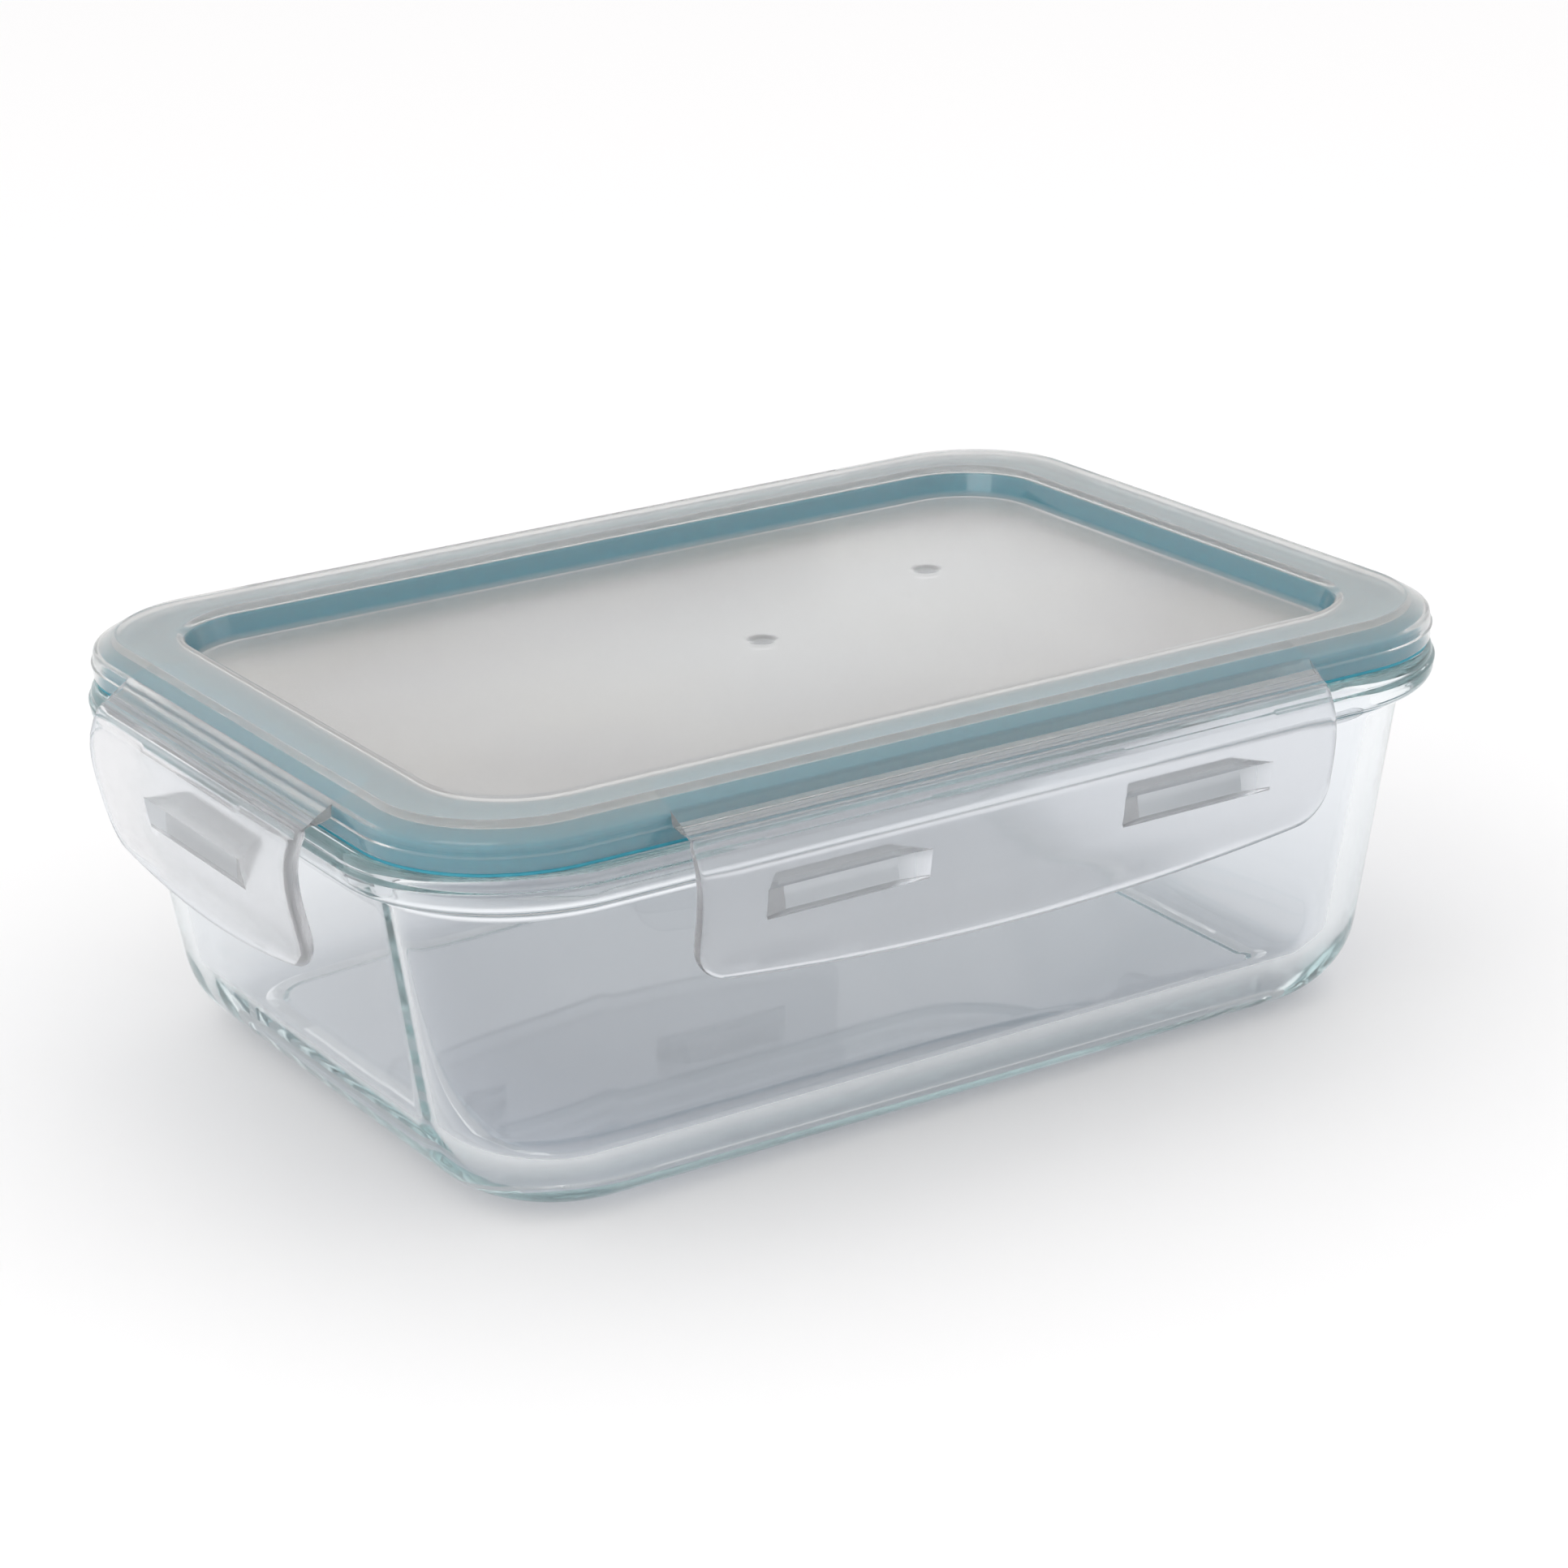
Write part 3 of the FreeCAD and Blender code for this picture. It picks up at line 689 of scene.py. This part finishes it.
def make_world():
    world = bpy.data.worlds.new("studio_world")
    world.use_nodes = True
    tree = world.node_tree
    tree.nodes.clear()
    sky = add(tree, "ShaderNodeBackground", {"Color": linear("#FDFCFC"), "Strength": 1.02})
    add(tree, "ShaderNodeOutputWorld", {"Surface": sky.outputs[0]})
    bpy.context.scene.world = world


def let_light_travel():
    """Plain colours, and enough bounces for clear pieces."""
    bpy.context.scene.view_settings.view_transform = "Standard"
    cycles = bpy.context.scene.cycles
    cycles.max_bounces = BOUNCES
    cycles.transmission_bounces = BOUNCES
    cycles.glossy_bounces = BOUNCES
    cycles.transparent_max_bounces = BOUNCES // 2
    cycles.diffuse_bounces = BOUNCES // 4


dish = make_dish()
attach(dish, "dish")
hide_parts("glass_dish")

lid = make_lid()
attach(lid, "lid")
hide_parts("lid")

gasket = make_gasket()
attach(gasket, "lid")
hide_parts("silicone_gasket")

SIDES = (
    ("front", 0, WIDTH / 2, FRONT_HALF, FRONT_RIBS),
    ("right", 90, LENGTH / 2, SIDE_HALF, SIDE_RIBS),
    ("back", 180, WIDTH / 2, FRONT_HALF, FRONT_RIBS),
    ("left", 270, LENGTH / 2, SIDE_HALF, SIDE_RIBS),
)
for side, degrees, widest, half, ribs in SIDES:
    turn = math.radians(degrees)
    flap = make_flap(side + "_flap", half, widest, ribs, turn)
    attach(flap, side + "_latch")
    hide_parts(side + "_latch")
    film = make_film(side + "_hinge_film", half, widest, turn)
    outward = Matrix.Rotation(turn, 3, "Z") @ Vector((0, -1, 0))
    lift = Vector((0, 0, AXIS_Z * MM))
    start = outward * (widest - BEND_IN) * MM + lift
    end = outward * (widest - AXIS_IN) * MM + lift
    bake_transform(film, "lid", side + "_latch", start=start, end=end)
    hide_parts(side + "_living_hinge")

make_stage()
make_camera()
make_world()
let_light_travel()
make_light("key_left", (-0.9, -0.5, 0.9), (0, 0, 0.03), (0.9, 0.9), 3.5, "#FFFFFF")
make_light("fill_right", (0.9, -0.7, 0.6), (0, 0, 0.03), (0.6, 0.8), 0.8, "#F6F8FF")
